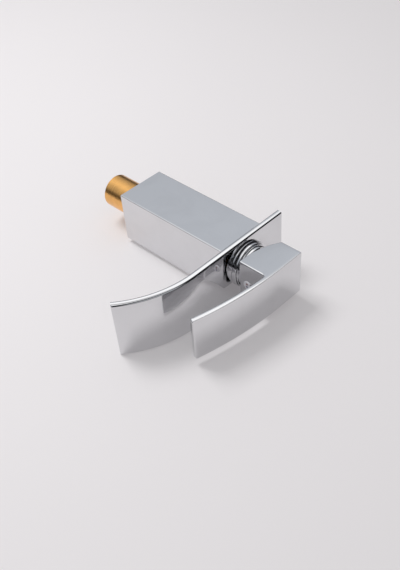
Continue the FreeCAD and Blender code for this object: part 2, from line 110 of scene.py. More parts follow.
def deselect_all() -> None:
    """Leave object mode with nothing selected."""
    if bpy.context.mode != "OBJECT":
        bpy.ops.object.mode_set(mode="OBJECT")
    bpy.ops.object.select_all(action="DESELECT")


def select_only(piece: Piece) -> None:
    """Make one object the only selected and the active one.

    Args:
        piece: the object.
    """
    deselect_all()
    piece.select_set(True)
    bpy.context.view_layer.objects.active = piece


@contextmanager
def edit(piece: Piece) -> Iterator[None]:
    """Work on one object in edit mode, and come back to object mode.

    Args:
        piece: the mesh object.

    Returns:
        The context, which gives nothing.
    """
    select_only(piece)
    bpy.ops.object.mode_set(mode="EDIT")
    yield
    bpy.ops.object.mode_set(mode="OBJECT")


def pick_all() -> None:
    """Select the whole mesh in edit mode."""
    bpy.ops.mesh.select_all(action="SELECT")


def pick(piece: Piece, part: Part, wanted: Test) -> None:
    """Select the points, edges or faces, in edit mode, that pass a test.

    Args:
        piece: the object in edit mode.
        part: which parts of its mesh are picked.
        wanted: the test in millimetres, on a point's place, an edge's two ends, or a face's
            middle and normal.
    """
    bpy.ops.mesh.select_mode(type=part.value)
    bpy.ops.mesh.select_all(action="DESELECT")
    mesh = bmesh.from_edit_mesh(piece.data)
    mesh.normal_update()
    if part is Part.POINTS:
        found = [point for point in mesh.verts if wanted(point.co / MM)]
    elif part is Part.EDGES:
        found = [edge for edge in mesh.edges if wanted(*(end.co / MM for end in edge.verts))]
    else:
        found = [face for face in mesh.faces if wanted(face.calc_center_median() / MM, face.normal)]
    for element in found:
        element.select = True
    mesh.select_flush_mode()
    bmesh.update_edit_mesh(piece.data)


def round_edges(piece: Piece, radius: float, segments: int, wanted: Test) -> None:
    """Round the edges whose ends pass a test.

    Args:
        piece: the object to round.
        radius: how far the rounding reaches.
        segments: how many steps it takes.
        wanted: the test on the two ends' places, in millimetres.
    """
    with edit(piece):
        pick(piece, Part.EDGES, wanted)
        bpy.ops.mesh.bevel(offset=radius * MM, segments=segments, affect="EDGES")


def extrude_faces(step: Sequence[float]) -> None:
    """Extrude the selected faces by a step along X, Y and Z, in millimetres."""
    bpy.ops.mesh.extrude_region_move(TRANSFORM_OT_translate={"value": tuple(c * MM for c in step)})


def move(step: Sequence[float]) -> None:
    """Move what is selected by a step along X, Y and Z, in millimetres."""
    bpy.ops.transform.translate(value=tuple(c * MM for c in step))


def face_outwards(piece: Piece) -> None:
    """Merge doubled points and turn all faces outwards.

    Args:
        piece: the mesh object.
    """
    with edit(piece):
        pick_all()
        bpy.ops.mesh.remove_doubles(threshold=MERGE * MM)
        bpy.ops.mesh.normals_make_consistent(inside=False)


def shade(piece: Piece, degrees: float) -> None:
    """Shade smooth, keeping edges sharper than an angle crisp."""
    select_only(piece)
    bpy.ops.object.shade_smooth_by_angle(angle=math.radians(degrees))


def apply_modifier(piece: Piece, kind: str, **settings: object) -> None:
    """Add a modifier, set it and apply it.

    Args:
        piece: the object that gets it.
        kind: Blender's name of the modifier's type.
        settings: its properties.
    """
    select_only(piece)
    modifier = piece.modifiers.new(kind.title(), kind)
    for name, value in settings.items():
        setattr(modifier, name, value)
    bpy.ops.object.modifier_apply(modifier=modifier.name)


def combine(piece: Piece, tool: Piece, how: str = "DIFFERENCE") -> None:
    """Cut one closed mesh with another, or join them where how is UNION, and remove the other."""
    apply_modifier(piece, "BOOLEAN", object=tool, operation=how, solver="EXACT")
    bpy.data.objects.remove(tool)


def outline(name: str, points: Sequence[Sequence[float]], filled: bool = True) -> Piece:
    """Draw a line of points by extruding one vertex from place to place.

    Args:
        name: its name.
        points: places in millimetres, as (x, y, z).
        filled: whether the line is closed and filled with a face.

    Returns:
        The object that holds the outline.
    """
    deselect_all()
    bpy.ops.mesh.primitive_plane_add(size=MM, location=(0, 0, 0))
    piece = bpy.context.object
    piece.name = name
    piece.data.name = name
    with edit(piece):
        pick_all()
        bpy.ops.mesh.merge(type="CENTER")
        bpy.ops.mesh.select_mode(type="VERT")
        pick_all()
        here = Vector(points[0])
        move(here)
        for place in points[1:]:
            step = (Vector(place) - here) * MM
            bpy.ops.mesh.extrude_vertices_move(TRANSFORM_OT_translate={"value": tuple(step)})
            here = Vector(place)
        if filled:
            pick_all()
            bpy.ops.mesh.edge_face_add()
    return piece


def arc(centre: Point, radius: float, start: float, end: float, steps: int) -> list[Point]:
    """Points along an arc about a centre, between two angles in degrees."""
    angles = [math.radians(start + (end - start) * i / steps) for i in range(steps + 1)]
    return [(centre[0] + radius * math.cos(t), centre[1] + radius * math.sin(t)) for t in angles]


def lathe(name: str, profile: Sequence[Point], steps: int) -> Piece:
    """Turn a closed profile about the column's axis.

    Args:
        name: its name.
        profile: (radius, height) points.
        steps: how many steps make the full turn.

    Returns:
        The turned object.
    """
    points = [(radius, 0.0, height) for radius, height in (*profile, profile[0])]
    piece = outline(name, points, filled=False)
    with edit(piece):
        pick_all()
        bpy.ops.mesh.remove_doubles(threshold=MERGE * MM)
        pick_all()
        bpy.ops.mesh.spin(steps=steps, angle=math.tau, center=(0, 0, 0), axis=(0, 0, 1))
    face_outwards(piece)
    return piece


def settle(name: str, **transform: object) -> Piece:
    """Name the object just added, and put its place, turn and size into its mesh.

    Args:
        name: its new name.
        transform: a location, rotation_euler or scale to give it first.

    Returns:
        The object.
    """
    piece = bpy.context.object
    piece.name = name
    for label, value in transform.items():
        setattr(piece, label, value)
    select_only(piece)
    bpy.ops.object.transform_apply(location=True, rotation=True, scale=True)
    return piece


def cylinder(name: str, radius: float, start: float, end: float,
             level: float | None = None) -> Piece:
    """A closed cylinder: upright on the column's axis, or along Y at a height.

    Args:
        name: its name.
        radius: its radius.
        start: its first end along Z or Y.
        end: its other end.
        level: the height of a cylinder along Y.

    Returns:
        The cylinder.
    """
    deselect_all()
    middle = (start + end) / 2
    size = {"radius": radius * MM, "depth": (end - start) * MM}
    if level is None:
        bpy.ops.mesh.primitive_cylinder_add(vertices=96, **size, location=(0, 0, middle * MM))
    else:
        bpy.ops.mesh.primitive_cylinder_add(vertices=48, **size, location=(0, middle * MM, level * MM),
                                            rotation=(math.pi / 2, 0, 0))
    return settle(name)


def block(name: str, low: Sequence[float], high: Sequence[float], corner: float = 0.0) -> Piece:
    """A closed box between two corners, its upright edges rounded if asked.

    Args:
        name: its name.
        low: lowest corner.
        high: highest corner.
        corner: radius of the upright edges.

    Returns:
        The box.
    """
    deselect_all()
    bpy.ops.mesh.primitive_cube_add(size=1, location=[(a + b) / 2 * MM for a, b in zip(low, high)])
    box = settle(name, scale=[(b - a) * MM for a, b in zip(low, high)])
    if corner:
        round_edges(box, corner, segments=8,
                    wanted=lambda a, b: abs(a.z - b.z) > ROW and (a - b).xy.length < NEAR)
    return box


# ---- finishes ----

class Effect(Enum):
    """The surface effects that several finishes share."""

    POLISH = "buffed_metal"
    TURNING = "turned_rings"
    GRAIN = "moulded_grain"
    HANDLING = "handling_stains"


class Sheet:
    """A node tree being drawn, with short ways to add and join its nodes."""

    def __init__(self, tree: Tree) -> None:
        """Start drawing on a node tree."""
        self.tree = tree
        self.column = 0

    def add(self, kind: str, **settings: object) -> Node:
        """Add a node beside the last one.

        Args:
            kind: Blender's node type.
            settings: the node's properties.

        Returns:
            The new node.
        """
        node = self.tree.nodes.new(kind)
        node.location = (self.column * 180, 0)
        self.column += 1
        for name, value in settings.items():
            setattr(node, name, value)
        return node

    def put(self, value: object, socket: Socket) -> None:
        """Give an input a constant, or link another node's socket to it.

        Args:
            value: a number, a vector, a colour without its alpha, or a socket.
            socket: the input.
        """
        if isinstance(value, Socket):
            self.tree.links.new(value, socket)
        else:
            socket.default_value = (*value, 1.0) if socket.type == "RGBA" else value

    def feed(self, node: Node, **values: object) -> Node:
        """Give inputs by name.

        Args:
            node: the node whose inputs are given.
            values: input names, with _ for spaces, and their constants or sockets.

        Returns:
            The same node.
        """
        for name, value in values.items():
            self.put(value, node.inputs[name.replace("_", " ")])
        return node

    def place(self) -> Socket:
        """The piece's own Object coordinates."""
        return self.add("ShaderNodeTexCoord").outputs["Object"]

    def noise(self, vector: Socket, scale: object, detail: float, roughness: float = 0.5,
              distortion: float = 0.0) -> Socket:
        """A noise texture's value, from 0 to 1, at a scale per metre."""
        return self.feed(self.add("ShaderNodeTexNoise"), Vector=vector, Scale=scale, Detail=detail,
                         Roughness=roughness, Distortion=distortion).outputs["Fac"]

    def maths(self, operation: str, *values: object) -> Socket:
        """Work out a number from others.

        Args:
            operation: Blender's name of the operation.
            values: the numbers, each a constant or a socket.

        Returns:
            The result.
        """
        node = self.add("ShaderNodeMath", operation=operation)
        for value, socket in zip(values, node.inputs):
            self.put(value, socket)
        return node.outputs[0]

    def spread(self, value: Socket, source: Point, target: Point = (0.0, 1.0)) -> Socket:
        """A value whose source range, lower end first, is mapped to the target range."""
        return self.feed(self.add("ShaderNodeMapRange"), Value=value, From_Min=source[0], From_Max=source[1],
                         To_Min=target[0], To_Max=target[1]).outputs["Result"]

    def blend(self, factor: Socket, first: object, second: object) -> Socket:
        """Mix two colours.

        Args:
            factor: how much of the second one shows.
            first: a colour or a socket.
            second: a colour or a socket.

        Returns:
            The mixed colour.
        """
        node = self.add("ShaderNodeMix", data_type="RGBA")
        self.put(factor, node.inputs["Factor"])
        colours = [socket for socket in node.inputs if socket.type == "RGBA"]
        for value, socket in zip((first, second), colours):
            self.put(value, socket)
        return next(socket for socket in node.outputs if socket.type == "RGBA")

    def apart(self, vector: Socket) -> Outputs:
        """A vector's X, Y and Z."""
        return self.feed(self.add("ShaderNodeSeparateXYZ"), Vector=vector).outputs

    def bump(self, height: Socket, strength: float, depth: float) -> Socket:
        """A normal from a height, with a strength and a depth in metres."""
        return self.feed(self.add("ShaderNodeBump"), Strength=strength, Distance=depth,
                         Height=height).outputs["Normal"]

    def use(self, effect: Effect, **values: object) -> Outputs:
        """The outputs of a shared effect that is placed here with its inputs."""
        group = bpy.data.node_groups[effect.value]
        return self.feed(self.add("ShaderNodeGroup", node_tree=group), **values).outputs


@dataclass(frozen=True)
class SharedEffects:
    """The surface effects that several finishes place, each a node group made once.

    Scales are per metre, and a range is the part of the noise that is spread from 0 to 1.
    """

    haze_scale: float = 28.0
    haze_range: Point = (0.45, 0.95)
    hair_scale: float = 420.0
    hair_stretch: Place = (9.0, 1.0, 9.0)
    hair_share: float = 0.35
    wave_scale: float = 55.0
    drift_scale: float = 90.0
    stain_range: Point = (0.42, 0.68)

    def build(self) -> None:
        """Build every group."""
        self.build_polish()
        self.build_turning()
        self.build_grain()
        self.build_handling()

    @staticmethod
    def start(effect: Effect, scalars: Sequence[str], results: Sequence[str]) -> tuple[Sheet, Outputs, Node]:
        """Start a group that reads a place and some numbers, and gives numbers.

        Args:
            effect: which effect it is.
            scalars: the names of the numbers it takes.
            results: the names of the numbers it gives.

        Returns:
            The sheet to draw on, what the group is given and the node that takes its results.
        """
        tree = bpy.data.node_groups.new(effect.value, "ShaderNodeTree")
        tree.interface.new_socket(name="Vector", in_out="INPUT", socket_type="NodeSocketVector")
        for in_out, labels in (("INPUT", scalars), ("OUTPUT", results)):
            for label in labels:
                tree.interface.new_socket(name=label, in_out=in_out, socket_type="NodeSocketFloat")
        sheet = Sheet(tree)
        return sheet, sheet.add("NodeGroupInput").outputs, sheet.add("NodeGroupOutput")

    def build_polish(self) -> None:
        """Buffed metal: faint haze and hairlines in the gloss, and a soft wave in the surface."""
        sheet, given, result = self.start(Effect.POLISH, ("Roughness", "Haze"), ("Roughness", "Height"))
        place = given["Vector"]
        patches = sheet.noise(place, self.haze_scale, detail=2.0)
        drawn = sheet.feed(sheet.add("ShaderNodeMapping"), Vector=place, Scale=self.hair_stretch)
        hairs = sheet.noise(drawn.outputs["Vector"], self.hair_scale, detail=4.0, roughness=0.62)
        haze = sheet.spread(sheet.maths("MULTIPLY_ADD", hairs, self.hair_share, patches), self.haze_range)
        sheet.feed(result, Roughness=sheet.maths("MULTIPLY_ADD", haze, given["Haze"], given["Roughness"]),
                   Height=sheet.noise(place, self.wave_scale, detail=1.0))

    def build_turning(self) -> None:
        """Lathe-turned metal: fine rings along the part's Z axis."""
        sheet, given, result = self.start(Effect.TURNING, ("Pitch",), ("Rings",))
        along = sheet.feed(sheet.add("ShaderNodeCombineXYZ"), Z=sheet.apart(given["Vector"])["Z"])
        sheet.feed(result, Rings=sheet.noise(along.outputs[0], given["Pitch"], detail=5.0, roughness=0.7))

    def build_grain(self) -> None:
        """Moulded or fired surface: a fine even grain, and broad drift for the colour."""
        sheet, given, result = self.start(Effect.GRAIN, ("Scale",), ("Drift", "Grain"))
        sheet.feed(result, Grain=sheet.noise(given["Vector"], given["Scale"], detail=6.0, roughness=0.6),
                   Drift=sheet.noise(given["Vector"], self.drift_scale, detail=2.0))

    def build_handling(self) -> None:
        """Stains and handling: soft patches broken up by fine specks."""
        sheet, given, result = self.start(Effect.HANDLING, ("Scale",), ("Stain",))
        patches = sheet.noise(given["Vector"], given["Scale"], detail=4.0, distortion=0.6)
        sheet.feed(result, Stain=sheet.spread(patches, self.stain_range))


# Between these a noise texture's values mostly lie.
NOISE_RANGE = (0.3, 0.7)


@dataclass(frozen=True)
class Finish:
    """A surface finish: a name, a colour and how rough it is."""

    name: str
    colour: Colour
    roughness: float

    def make(self) -> Material:
        """Make the finish's material.

        Returns:
            The material.
        """
        material = bpy.data.materials.new(self.name)
        material.use_nodes = True
        sheet = Sheet(material.node_tree)
        shader = material.node_tree.nodes["Principled BSDF"]
        sheet.feed(shader, Base_Color=self.colour, Roughness=self.roughness)
        sheet.feed(shader, **self.look(sheet, sheet.place()))
        return material

    def look(self, sheet: Sheet, place: Socket) -> Inputs:
        """Draw the finish."""
        raise NotImplementedError

    def uneven(self, sheet: Sheet, noise: Socket, swing: Point) -> Socket:
        """The roughness, which a noise swings a little below and above its value."""
        return sheet.spread(noise, NOISE_RANGE, (self.roughness - swing[0], self.roughness + swing[1]))


@dataclass(frozen=True)
class BuffedFinish(Finish):
    """Buffed or ground metal, faintly stained by handling."""

    haze: float
    stain_scale: float
    stain_shade: float
    depth: float
    strength: float

    def look(self, sheet: Sheet, place: Socket) -> Inputs:
        """Draw haze and hairlines in the gloss, darker stains and a soft wave.

        Args:
            sheet: the material's sheet.
            place: where the pattern is read.

        Returns:
            The shader's inputs.
        """
        buffed = sheet.use(Effect.POLISH, Vector=place, Roughness=self.roughness, Haze=self.haze)
        stain = sheet.use(Effect.HANDLING, Vector=place, Scale=self.stain_scale)["Stain"]
        darker = tuple(c * self.stain_shade for c in self.colour)
        return {"Metallic": 1.0, "Roughness": buffed["Roughness"],
                "Base_Color": sheet.blend(stain, self.colour, darker),
                "Normal": sheet.bump(buffed["Height"], self.strength, self.depth)}


@dataclass(frozen=True)
class TurnedFinish(Finish):
    """Bare metal, turned on a lathe and lightly tarnished."""

    tarnish: Colour
    tarnish_share: Point = (0.05, 0.4)
    pitch: float = 2600.0
    stain_scale: float = 60.0
    swing: Point = (0.04, 0.08)
    strength: float = 0.12
    depth: float = 0.0002

    def look(self, sheet: Sheet, place: Socket) -> Inputs:
        """Draw fine rings in the gloss and the surface, and tarnish in patches.

        Args:
            sheet: the material's sheet.
            place: where the pattern is read.

        Returns:
            The shader's inputs.
        """
        rings = sheet.use(Effect.TURNING, Vector=place, Pitch=self.pitch)["Rings"]
        stain = sheet.use(Effect.HANDLING, Vector=place, Scale=self.stain_scale)["Stain"]
        share = sheet.spread(stain, (0.0, 1.0), self.tarnish_share)
        return {"Metallic": 1.0, "Roughness": self.uneven(sheet, rings, self.swing),
                "Base_Color": sheet.blend(share, self.colour, self.tarnish),
                "Normal": sheet.bump(rings, self.strength, self.depth)}


@dataclass(frozen=True)
class MouldedFinish(Finish):
    """Moulded rubber, plastic or fired ceramic: grain in the gloss and drift in the colour."""

    drift: Colour
    grain_scale: float = 2500.0
    strength: float = 0.12
    depth: float = 0.0003
    swing: Point = (0.05, 0.05)
    coat: float = 0.0

    def look(self, sheet: Sheet, place: Socket) -> Inputs:
        """Draw grain in the gloss and the surface, drift in the colour, and a clear coat if any.

        Args:
            sheet: the material's sheet.
            place: where the pattern is read.

        Returns:
            The shader's inputs.
        """
        grain = sheet.use(Effect.GRAIN, Vector=place, Scale=self.grain_scale)
        return {"Coat_Weight": self.coat, "Coat_Roughness": 0.06,
                "Roughness": self.uneven(sheet, grain["Grain"], self.swing),
                "Base_Color": sheet.blend(grain["Drift"], self.colour, self.drift),
                "Normal": sheet.bump(grain["Grain"], self.strength, self.depth)}


# How the button and its inlays are moulded: fine grain under a clear coat.
GLOSSY = {"grain_scale": 3000.0, "strength": 0.05, "coat": 0.5}

FINISHES: dict[Slot, Finish] = {
    Slot.CHROME: BuffedFinish("chrome_plate", (0.73, 0.73, 0.745), 0.035, haze=0.05, stain_scale=38.0,
                              stain_shade=0.965, depth=0.0004, strength=0.02),
    Slot.STEEL: BuffedFinish("ground_steel", (0.56, 0.56, 0.57), 0.24, haze=0.15, stain_scale=120.0,
                             stain_shade=0.85, depth=0.0002, strength=0.06),
    Slot.BRASS: TurnedFinish("turned_brass", (0.96, 0.52, 0.17), 0.25, tarnish=(0.48, 0.26, 0.09)),
    Slot.RUBBER: MouldedFinish("black_rubber", (0.02, 0.02, 0.021), 0.62, drift=(0.032, 0.031, 0.03),
                               grain_scale=1800.0, strength=0.3),
    Slot.GREY_MOULDING: MouldedFinish("grey_acetal", (0.55, 0.56, 0.57), 0.45, drift=(0.60, 0.61, 0.61)),
    Slot.WHITE_MOULDING: MouldedFinish("white_acetal", (0.80, 0.80, 0.77), 0.42, drift=(0.74, 0.74, 0.71)),
    Slot.CERAMIC: MouldedFinish("lapped_ceramic", (0.82, 0.80, 0.74), 0.2, drift=(0.76, 0.73, 0.66),
                                grain_scale=4000.0, strength=0.05, coat=0.3),
    Slot.WHITE_CAP: MouldedFinish("white_cap", (0.78, 0.77, 0.80), 0.24, (0.72, 0.70, 0.74), **GLOSSY),
    Slot.HOT: MouldedFinish("red_inlay", (0.31, 0.13, 0.14), 0.28, (0.26, 0.10, 0.11), **GLOSSY),
    Slot.COLD: MouldedFinish("blue_inlay", (0.13, 0.14, 0.24), 0.28, (0.10, 0.11, 0.20), **GLOSSY),
}


class PaintBox:
    """Every finish of the tap, made once and handed out by slot."""

    def __init__(self) -> None:
        """Make all materials."""
        SharedEffects().build()
        self.materials = {slot: finish.make() for slot, finish in FINISHES.items()}

    def dress(self, piece: Piece, slot: Slot) -> None:
        """Give a piece one finish all over."""
        piece.data.materials.clear()
        piece.data.materials.append(self.materials[slot])

    def dress_node(self, name: str, slot: Slot) -> None:
        """Give a CAD node its finish, leaving its mesh alone."""
        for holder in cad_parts[name].material_slots:
            holder.material = self.materials[slot]


@dataclass
class SubAssembly:
    """A group of pieces that are built and dressed together."""

    paint: PaintBox

    def build(self) -> None:
        """Build and dress the group's pieces."""
        raise NotImplementedError

    def hand_over(self, piece: Piece, body: Rides, node: str) -> None:
        """Chrome a finished piece, let it ride and hide the CAD node that it stands for.

        Args:
            piece: the finished piece.
            body: the body it rides on.
            node: the CAD node that it replaces.
        """
        self.paint.dress(piece, Slot.CHROME)
        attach(piece, body.value)
        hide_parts(node)
        LOG.info("%s rides on %s with %d faces", piece.name, body.value, len(piece.data.polygons))


# ---- nodes that show as they are ----

@dataclass
class ShownNodes(SubAssembly):
    """A group of CAD nodes that keep their own meshes."""

    finishes: dict[Slot, Sequence[str]]

    def build(self) -> None:
        """Dress the nodes."""
        for slot, names in self.finishes.items():
            for name in names:
                self.paint.dress_node(name, slot)


COLUMN = {
    Slot.CHROME: ("column_body",),
    Slot.RUBBER: ("base_gasket", "spout_gasket"),
    Slot.BRASS: ("shank",),
}
CARTRIDGE = {
    Slot.RUBBER: ("bonnet_seal", "port_seals", "disc_seals"),
    Slot.BRASS: ("cartridge_nut", "stem"),
    Slot.GREY_MOULDING: ("cartridge_housing", "cartridge_base", "stem_carrier"),
    Slot.WHITE_MOULDING: ("disc_slider",),
    Slot.CERAMIC: ("fixed_disc", "moving_disc"),
    Slot.STEEL: ("pivot_pin",),
}
LEVER_FITTINGS = {
    Slot.STEEL: ("grub_screw",),
    Slot.WHITE_CAP: ("index_button",),
    Slot.HOT: ("hot_inlay",),
    Slot.COLD: ("cold_inlay",),
}


# ---- spout ----

@dataclass
class Spout(SubAssembly):
    """The hollow waterfall spout: a tray and a cover with softly leaning sides."""

    bottom: float = 118.0
    thickness: float = 4.8
    cover_thickness: float = 1.4
    floor_thickness: float = 1.4
    rear: float = 41.0
    bend_start: float = -56.0
    bend_radius: float = 87.0
    bend_degrees: float = 42.6
    bend_steps: int = 36
    half: float = 26.0
    lean_degrees: float = 9.0
    top_round: float = 2.0
    sole_round: float = 1.6
    rear_round: float = 0.6
    lip_round: float = 1.25
    lip_band: float = 0.9
    waterway_half: float = 22.0
    waterway_rear: float = 37.0
    past_lip_degrees: float = 1.0
    rib_half: float = 0.6
    rib_apart: float = 11.0
    rib_start: float = -24.0
    rib_degrees: float = 27.0
    hub_radius: float = 17.5
    hole_radius: float = 16.1
    riser_half: float = 11.0
    riser_front: float = 17.6
    riser_rear: float = 20.2
    riser_corner: float = 1.25
    crisp_degrees: float = 35.0

    def build(self) -> None:
        """Build the cover and the tray."""
        self.build_cover()
        self.build_tray()

    @property
    def rim(self) -> float:
        """The height, from the plate's underside, at which the two shells meet."""
        return self.thickness - self.cover_thickness

    def side(self) -> list[Point]:
        """The plate's right side: rounded at the sole, leaning in, rounded again at the top.

        Returns:
            Its (x, height) points from sole to top.
        """
        lean = math.radians(self.lean_degrees)
        steps = 6
        foot = arc((self.half - self.sole_round, self.sole_round), self.sole_round, -90.0,
                   self.lean_degrees, steps)
        start = foot[-1]
        top_centre = self.thickness - self.top_round
        rise = top_centre + self.top_round * math.sin(lean) - start[1]
        middle = start[0] - rise * math.tan(lean) - self.top_round * math.cos(lean)
        return foot + arc((middle, top_centre), self.top_round, self.lean_degrees, 90.0, steps)

    def layer(self, low: float, high: float) -> list[Point]:
        """The plate's whole section between two heights, as (x, height) points in order.

        Args:
            low: the layer's lower height.
            high: its upper height.

        Returns:
            The closed outline, up the right side and down the left.
        """
        side = self.side()
        right = [self.cross(side, low)] if low > 0 else []
        right += [point for point in side if low < point[1] + HAIR and point[1] < high + HAIR]
        if high < self.thickness:
            right.append(self.cross(side, high))
        return right + [(-x, height) for x, height in reversed(right)]

    @staticmethod
    def cross(side: Sequence[Point], level: float) -> Point:
        """Find where the side crosses a height.

        Args:
            side: the side's points.
            level: the height.

        Returns:
            The point of crossing.
        """
        for (x_low, low), (x_high, high) in zip(side, side[1:]):
            if low <= level <= high:
                share = (level - low) / (high - low)
                return x_low + (x_high - x_low) * share, level
        return side[-1]

    def bent(self, name: str, section: Sequence[Point], rear: float, degrees: float) -> Piece:
        """Carry a section forward and round the bend.

        Args:
            name: its name.
            section: the (x, height) outline in millimetres, heights from the plate's underside.
            rear: where it starts along Y.
            degrees: how far it follows the bend.

        Returns:
            The closed layer.
        """
        piece = outline(name, [(x, rear, self.bottom + height) for x, height in section])
        centre = (0, self.bend_start * MM, (self.bottom - self.bend_radius) * MM)
        with edit(piece):
            pick_all()
            extrude_faces((0, self.bend_start - rear, 0))
            bpy.ops.mesh.delete(type="ONLY_FACE")
            pick(piece, Part.POINTS, lambda co: abs(co.y - self.bend_start) < NEAR)
            bpy.ops.mesh.spin(steps=self.bend_steps, angle=math.radians(degrees), center=centre,
                              axis=(-1, 0, 0))
            bpy.ops.mesh.edge_face_add()
        face_outwards(piece)
        return piece

    def shell(self, name: str, low: float, high: float) -> Piece:
        """A full-length layer of the plate with its rear edge rounded.

        Args:
            name: its name.
            low: the layer's lower height, from the plate's underside.
            high: its upper height.

        Returns:
            The solid layer.
        """
        shell = self.bent(name, self.layer(low, high), self.rear, self.bend_degrees)
        levels = (self.bottom, self.bottom + self.thickness)
        round_edges(shell, self.rear_round, segments=4, wanted=lambda a, b: all(
            abs(end.y - self.rear) < NEAR for end in (a, b)) and min(
            abs(a.z - level) + abs(b.z - level) for level in levels) < NEAR)
        return shell

    def upright_hole(self, high: float) -> Piece:
        """The cutter for the column's neck, up to a height from the plate's underside."""
        return cylinder("neck_hole", self.hole_radius, self.bottom - PAST, self.bottom + high + PAST)

    def build_cover(self) -> None:
        """The upper shell, the polished blade that the water leaves."""
        cover = self.shell("spout_cover_plate", self.rim, self.thickness)
        self.soften_lip(cover)
        combine(cover, self.upright_hole(self.thickness))
        shade(cover, self.crisp_degrees)
        self.hand_over(cover, Rides.TAP, "spout_cover")

    def soften_lip(self, cover: Piece) -> None:
        """Round the front end of the cover along its broad face and its upper corners.

        Args:
            cover: the upper shell.
        """
        end = math.radians(self.bend_degrees)
        level = self.bend_radius + self.thickness - self.lip_band

        def at_lip(place: Vector) -> bool:
            """Whether a point lies on the lip's end, near its broad face."""
            reach, rise = self.bend_start - place.y, place.z - self.bottom + self.bend_radius
            return abs(math.atan2(reach, rise) - end) < SAME_TURN and math.hypot(reach, rise) > level

        round_edges(cover, self.lip_round, segments=5, wanted=lambda a, b: at_lip(a) and at_lip(b))

    def build_tray(self) -> None:
        """The lower shell: floor, side walls, hub round the neck and three guide ribs."""
        floor = self.floor_thickness
        tray = self.shell("spout_tray_shell", 0.0, self.rim)
        channel = self.strip(0.0, self.waterway_half, floor, self.rim + PAST)
        past_lip = self.bend_degrees + self.past_lip_degrees
        combine(tray, self.bent("waterway", channel, self.waterway_rear, past_lip))
        hub = cylinder("hub", self.hub_radius, self.bottom + floor - INTO, self.bottom + self.rim)
        combine(tray, hub, "UNION")
        for place in (-1, 0, 1):
            rib = self.strip(place * self.rib_apart, self.rib_half, floor - INTO, self.rim)
            combine(tray, self.bent("guide_rib", rib, self.rib_start, self.rib_degrees), "UNION")
        combine(tray, self.upright_hole(self.rim))
        riser = block("riser_hole", (-self.riser_half, self.riser_front, self.bottom - PAST),
                      (self.riser_half, self.riser_rear, self.bottom + floor + PAST), self.riser_corner)
        combine(tray, riser)
        shade(tray, self.crisp_degrees)
        self.hand_over(tray, Rides.TAP, "spout_tray")

    @staticmethod
    def strip(middle: float, half: float, low: float, high: float) -> list[Point]:
        """A rectangle's (x, height) corners about a middle, between two heights."""
        return [(middle - half, low), (middle + half, low), (middle + half, high), (middle - half, high)]


# ---- bonnet ----

@dataclass
class Bonnet(SubAssembly):
    """The round collar that clamps the spout: band, groove, bead and a round-shouldered crown.

    Heights are from the collar's foot on the spout.
    """

    foot: float = 122.8
    bore: float = 16.0
    mouth: float = 11.0
    ledge: float = 4.9
    seal_inner: float = 17.0
    seal_outer: float = 19.0
    seal_depth: float = 1.6
    band: float = 19.5
    band_top: float = 3.9
    groove: float = 17.8
    bead: float = 18.6
    bead_low: float = 4.7
    bead_top: float = 5.6
    crown: float = 17.5
    crown_top: float = 7.9
    crown_round: float = 0.8
    edge_round: float = 0.4
    crisp_degrees: float = 40.0
    steps: int = 128

    def build(self) -> None:
        """Turn the collar and round its rims."""
        shoulder = arc((self.crown - self.crown_round, self.crown_top - self.crown_round),
                       self.crown_round, 0.0, 90.0, steps=6)
        profile = [
            (self.bore, 0.0),
            (self.seal_inner, 0.0), (self.seal_inner, self.seal_depth),
            (self.seal_outer, self.seal_depth), (self.seal_outer, 0.0),
            (self.band, 0.0), (self.band, self.band_top), (self.groove, self.band_top),
            (self.groove, self.bead_low), (self.bead, self.bead_low), (self.bead, self.bead_top),
            (self.crown, self.bead_top), *shoulder,
            (self.mouth, self.crown_top), (self.mouth, self.ledge), (self.bore, self.ledge),
        ]
        collar = lathe("bonnet_collar", [(radius, self.foot + rise) for radius, rise in profile], self.steps)
        round_edges(collar, self.edge_round, segments=4,
                    wanted=lambda a, b: self.is_rim(a) and self.is_rim(b) and abs(a.z - b.z) < HAIR)
        shade(collar, self.crisp_degrees)
        self.hand_over(collar, Rides.TAP, "bonnet")

    def is_rim(self, place: Vector) -> bool:
        """Whether a point lies on one of the outer edges that are rounded.

        Args:
            place: the point's place.

        Returns:
            True on a rim.
        """
        radius, height = place.xy.length, place.z - self.foot
        rims = ((self.band, self.band_top), (self.band, 0.0), (self.bead, self.bead_low),
                (self.bead, self.bead_top))
        return any(abs(radius - r) < 2 * NEAR and abs(height - h) < 2 * NEAR for r, h in rims)


# ---- lever ----

